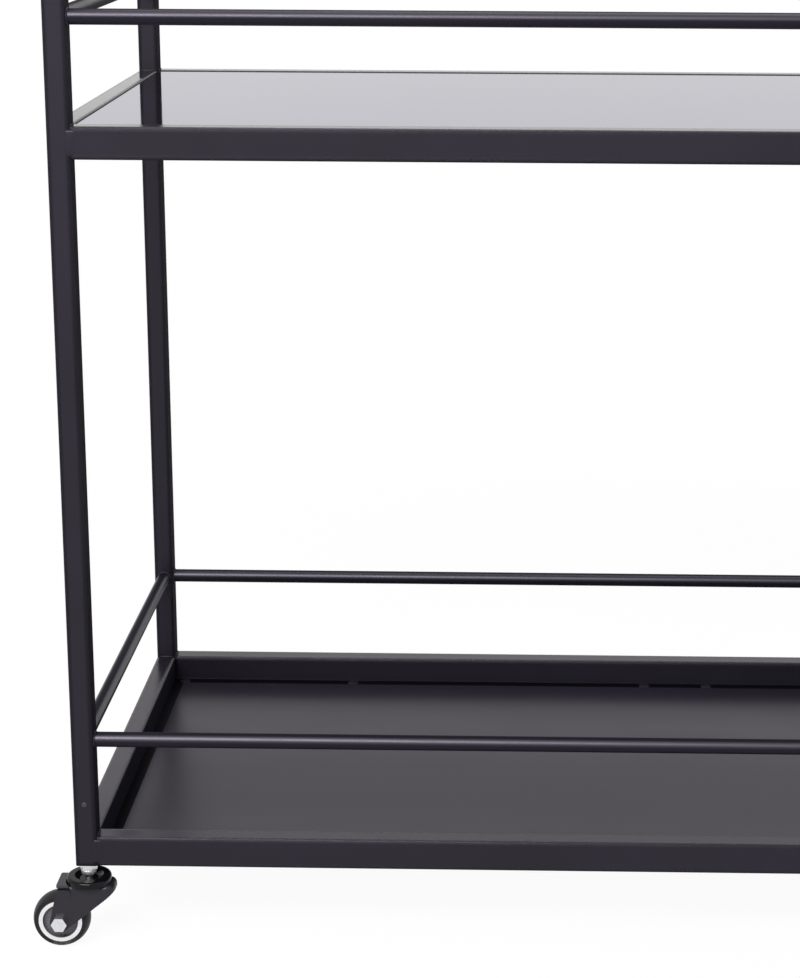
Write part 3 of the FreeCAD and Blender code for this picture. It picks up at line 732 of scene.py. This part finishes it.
def add_ground_weld(mesh, centre, outward, width, height):
    """A low swelling on an upright face, sunk at its edges."""
    patch = bmesh.new()
    bmesh.ops.create_cube(patch, size=1)
    bmesh.ops.subdivide_edges(patch, edges=patch.edges, cuts=9, use_grid_fill=True)
    side = outward.cross(Vector((0, 0, 1)))
    for vertex in patch.verts:
        # u and v run from -1 to 1 over the patch, inward from 0 at its front to 1
        u, inward, v = 2 * vertex.co.x, vertex.co.y + 0.5, 2 * vertex.co.z
        spot = Vector((u * 2, v * 3, (centre.x + centre.z) * 9))
        uneven = 1 + GROUND_UNEVEN_SHARE * noise.noise(spot)
        rise = GROUND_CROWN * uneven * (1 - u * u) ** 2 * (1 - v ** 4) - GROUND_SUNK
        level = rise * (1 - inward) - GROUND_DEPTH * inward
        across, up = side * (u * width / 2), Vector((0, 0, v * height / 2))
        vertex.co = centre + across + outward * level + up
    add_piece(mesh, patch)


print("a ground weld rises", round(GROUND_CROWN / MM, 2), "mm")

# %% [markdown]
# ## The rims' welds
# A rim tube is welded to its post on the outer face, where the weld is ground
# flush, and across its top and bottom, where the beads stay. The beads could run
# round the whole tube, but inside a corner a torch doesn't reach. The lower rims
# end level with the posts, so they have no bead underneath.

# %% Weld the rims
BEAD_RADIUS = 1.25 * MM
BEAD_INSET = 1.5 * MM
SEAM_WIDTH, SEAM_INSET = 9 * MM, 2.5 * MM
tube_weld = weld_coat("black_powder_coat_on_welds", TUBE_LEVEL, roughness=0.38, gloss=0.24)
half_bead = (outer_x - inner_x) / 2 - BEAD_INSET
rim_welds = bmesh.new()
rim_beads = 0
for tier, ((rim_low, rim_high), _) in tiers.items():
    middle_z, height = (rim_low.z + rim_high.z) / 2, rim_high.z - rim_low.z - 2 * SEAM_INSET
    levels = (rim_high.z, rim_low.z) if tier == "shelf" else (rim_high.z,)
    for x_sign, y_sign in CORNERS:
        flush_x = Vector((inner_x * x_sign, outer_y * y_sign, middle_z))
        flush_y = Vector((outer_x * x_sign, inner_y * y_sign, middle_z))
        add_ground_weld(rim_welds, flush_x, Vector((0, y_sign, 0)), SEAM_WIDTH, height)
        add_ground_weld(rim_welds, flush_y, Vector((x_sign, 0, 0)), SEAM_WIDTH, height)
        for level in levels:
            end_x = Vector((inner_x * x_sign, across_y * y_sign, level))
            end_y = Vector((across_x * x_sign, inner_y * y_sign, level))
            add_bead(rim_welds, end_x, (BEAD_RADIUS, half_bead, BEAD_RADIUS))
            add_bead(rim_welds, end_y, (half_bead, BEAD_RADIUS, BEAD_RADIUS))
            rim_beads += 2
hand_over("rim_welds", rim_welds, tube_weld)
print(rim_beads, "beads on the rims")

# %% [markdown]
# ## The rails' welds
# The guard rails are round and run in the middle of the posts' width, and each
# end has a ring bead where it meets its post. One bead could be copied sixteen
# times and moved, but a bead made in place has its own noise.

# %% Weld the rails
rail_welds = bmesh.new()
for _, (rail_low, rail_high) in tiers.values():
    rail_z, rail_radius = (rail_low.z + rail_high.z) / 2, (rail_high.z - rail_low.z) / 2
    rail_y = -(rail_low.y + rail_high.y) / 2
    # the short rails stand as far outside the posts' inner faces as the long ones
    rail_x = rail_y - inner_y + inner_x
    for x_sign, y_sign in CORNERS:
        end_x = Vector((inner_x * x_sign, rail_y * y_sign, rail_z))
        end_y = Vector((rail_x * x_sign, inner_y * y_sign, rail_z))
        add_ring_bead(rail_welds, end_x, Vector((1, 0, 0)), rail_radius, BEAD_RADIUS)
        add_ring_bead(rail_welds, end_y, Vector((0, 1, 0)), rail_radius, BEAD_RADIUS)
hand_over("rail_welds", rail_welds, tube_weld)

# %% [markdown]
# ## The tray's tacks
# A dark line of painted shadow runs round the tray's sheet, where it stops short
# of the rim. A few low welds on the long sides break the line and hold the sheet.
# They stand where a welder would set them by eye, so they are unevenly spaced and
# their places are a list, not a pattern. They are stretched spheres like the beads.

# %% Tack the tray's sheet
LAP = 7 * MM  # how far the line laps over the sheet
TACK_HALF_LENGTH, TACK_RISE = 6 * MM, 0.9 * MM
TACK_PLACES = [-391 * MM, -214 * MM, 92 * MM, 157 * MM, 372 * MM]
tack_coat = weld_coat("black_powder_coat_on_tacks", TACK_LEVEL, roughness=0.50, gloss=0.12)
sheet_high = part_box("tray_floor")[1]
groove = (inner_y - sheet_high.y) / 2
half_line = groove + LAP / 2
line_x, line_y = inner_x - half_line, inner_y - half_line
tacks = bmesh.new()
for y_sign in (-1, 1):
    for place_x in TACK_PLACES:
        centre = Vector((place_x, line_y * y_sign, sheet_high.z))
        add_bead(tacks, centre, (TACK_HALF_LENGTH, half_line, TACK_RISE))
hand_over("tray_tacks", tacks, tack_coat)

# %% [markdown]
# ## The tray's dark line: a painted shadow
# The groove between sheet and rim is in shade, painted here as a near-black strip
# that laps a little over the sheet. It could be painted into the sheet's finish,
# but the strip stands proud of the powder and ends at each tack. So it is laid as
# one flat strip from each tack to the next, with its upper edges rounded.

# %% Lay the sealant
SHADOW_STRIP_RISE, SHADOW_STRIP_DEPTH = 0.3 * MM, 0.3 * MM
SHADOW_STRIP_ROUNDING_SHARE = 0.6
TACK_FREE_SHARE = 0.8  # the share of a tack's half length that stays free of the painted shadow strip


def add_strip(mesh, low, high):
    """A low flat strip between two corners, with its upper edges rounded."""
    strip = bmesh.new()
    bmesh.ops.create_cube(strip, size=1)
    size, centre = high - low, (low + high) / 2
    shape = Matrix.Translation(centre) @ Matrix.Diagonal((*size, 1))
    bmesh.ops.transform(strip, matrix=shape, verts=strip.verts)
    upper = [edge for edge in strip.edges if all(vertex.co.z > centre.z for vertex in edge.verts)]
    bmesh.ops.bevel(strip, geom=upper, offset=size.z * SHADOW_STRIP_ROUNDING_SHARE, segments=3,
                    profile=0.5, affect="EDGES", material=-1)
    add_piece(mesh, strip)


shadow_strip_low, shadow_strip_high = sheet_high.z - SHADOW_STRIP_DEPTH, sheet_high.z + SHADOW_STRIP_RISE
groove_shadow_strips = bmesh.new()
half_gap = TACK_HALF_LENGTH * TACK_FREE_SHARE
gaps = [place + end * half_gap for place in TACK_PLACES for end in (-1, 1)]
ends = [-inner_x, *gaps, inner_x]
for y_sign in (-1, 1):
    near, far = sorted(((line_y - half_line) * y_sign, (line_y + half_line) * y_sign))
    for start, stop in zip(ends[0::2], ends[1::2]):
        add_strip(groove_shadow_strips, Vector((start, near, shadow_strip_low)), Vector((stop, far, shadow_strip_high)))
short_end = line_y - half_line
for x_sign in (-1, 1):
    near, far = sorted(((line_x - half_line) * x_sign, (line_x + half_line) * x_sign))
    add_strip(groove_shadow_strips, Vector((near, -short_end, shadow_strip_low)), Vector((far, short_end, shadow_strip_high)))
hand_over("tray_groove_shadow", groove_shadow_strips, groove_shadow_finish())

# %% [markdown]
# ## Vent plugs
# Closed tube needs a small hole, or the hot air of the oven would burst its
# welds. Each post has one low down on its outer face, stopped with a black nylon
# plug. A black spot in the finish could stand for it, but the plug's edge catches
# light, so it is a thin disc with a rounded edge, half sunk in the tube.

# %% Plug the vents
PLUG_RADIUS, PLUG_RISE, PLUG_ROUNDING = 2.3 * MM, 0.45 * MM, 0.35 * MM
PLUG_HEIGHT = 135.5 * MM


def add_plug(mesh, spot, outward):
    """A thin disc with a rounded edge, half sunk in an upright face."""
    plug = bmesh.new()
    bmesh.ops.create_cone(plug, cap_ends=True, segments=28, radius1=PLUG_RADIUS,
                          radius2=PLUG_RADIUS, depth=2 * PLUG_RISE)
    rim = [edge for edge in plug.edges if all(vertex.co.z > 0 for vertex in edge.verts)]
    bmesh.ops.bevel(plug, geom=rim, offset=PLUG_ROUNDING, segments=3, profile=0.5,
                    affect="EDGES", material=-1)
    face_out = outward.to_track_quat("Z", "X").to_matrix().to_4x4()
    bmesh.ops.transform(plug, matrix=Matrix.Translation(spot) @ face_out, verts=plug.verts)
    add_piece(mesh, plug)


plugs = bmesh.new()
for x_sign, y_sign in CORNERS:
    spot = Vector((across_x * x_sign, outer_y * y_sign, PLUG_HEIGHT))
    add_plug(plugs, spot, Vector((0, y_sign, 0)))
hand_over("vent_plugs", plugs, finishes["plug"])

# %% [markdown]
# ## A white world
# The cart stands in white all round, as in a product picture. More light would
# whiten the background too, but it would bleach the cart. So the world shows as
# plain white only to the camera and to shiny surfaces, and lights the cart at a
# plain level.

# %% World
AMBIENT = 0.35


def seen_directly(tree):
    """1 for rays from the camera, a mirror or glass, as the output of two Math nodes."""
    path = tree.nodes.new("ShaderNodeLightPath")
    total = path.outputs["Is Camera Ray"]
    for name in ("Is Glossy Ray", "Is Transmission Ray"):
        adder = tree.nodes.new("ShaderNodeMath")
        adder.operation = "MAXIMUM"
        tree.links.new(total, adder.inputs[0])
        tree.links.new(path.outputs[name], adder.inputs[1])
        total = adder.outputs[0]
    return total


world = bpy.data.worlds.new("white_studio")
bpy.context.scene.world = world
world.use_nodes = True
sky = world.node_tree
dome = sky.nodes["Background"]
dome.inputs["Color"].default_value = (1, 1, 1, 1)
strength = sky.nodes.new("ShaderNodeMapRange")
strength.inputs["To Min"].default_value = AMBIENT
strength.inputs["To Max"].default_value = 1.0
sky.links.new(seen_directly(sky), strength.inputs["Value"])
sky.links.new(strength.outputs[0], dome.inputs["Strength"])
print("the world lights the cart at", AMBIENT)

# %% [markdown]
# ## The floor
# White paper that runs out of sight. Left to the lamps, it would show grey
# beside the white world. So it glows white as the world does, and keeps a small
# share of its own shading under the cart, enough to hold the casters' shadows.

# %% Floor
FLOOR_REACH = 14
FLOOR_DROP = 0.2 * MM
GLOW_SHARE = 0.95
SHADE_REACH, SHADE_END = 0.7, 1.6

paper_sheet = bmesh.new()
bmesh.ops.create_grid(paper_sheet, x_segments=1, y_segments=1, size=FLOOR_REACH)
floor = add_object("floor", to_data("floor", paper_sheet))
floor.location.z = -FLOOR_DROP

paper = Finish("white_paper")
matt = paper.node("ShaderNodeBsdfDiffuse", {"Color": (0.95, 0.95, 0.95, 1)})
glow = paper.node("ShaderNodeEmission", {"Color": (1, 1, 1, 1), "Strength": 1.0})
distance = paper.node("ShaderNodeVectorMath", {0: paper.place}, output="Value", operation="LENGTH")
away = paper.ramp(distance, SHADE_REACH, SHADE_END)
share = GLOW_SHARE + (1 - GLOW_SHARE) * away
seen = Value(paper, seen_directly(paper.tree))
floor.data.materials.append(paper.done(paper.mix(share * seen, matt, glow)))
print("the floor keeps", round(1 - GLOW_SHARE, 2), "of its shading under the cart")

# %% [markdown]
# ## Lamps
# Wide softboxes give the satin powder its broad, soft shine; small lamps would
# leave hard spots on every tube. The key stands to the left and in front and
# lights the upright faces. A weak fill opens the shadows on the right. One above
# and behind draws the light lines on the tops of the rims and rails.

# %% Lamps
def softbox(name, place, target, width, height, power):
    """A rectangular lamp at a place, facing a target, both in metres."""
    data = bpy.data.lights.new(name, "AREA")
    data.shape = "RECTANGLE"
    data.size, data.size_y = width, height
    data.energy = power
    lamp = add_object(name, data)
    lamp.location = place
    lamp.rotation_euler = (Vector(target) - Vector(place)).to_track_quat("-Z", "Y").to_euler()
    print(name, "softbox of", power, "W")


middle = (cad_low + cad_high) / 2
softbox("key", (-0.9, -2.0, 1.95), (-0.3, 0, 0.45), width=1.9, height=0.7, power=92)
softbox("fill", (2.4, -2.0, 1.4), middle, width=1.6, height=1.4, power=4)
softbox("top", (0.2, 0.7, 2.7), middle, width=1.8, height=1.4, power=22)

# %% [markdown]
# ## The picture's look
# The Standard view shows each colour about as it is written; a filmic one would
# grey the whites.

# %% The picture's look
bpy.context.scene.view_settings.view_transform = "Standard"
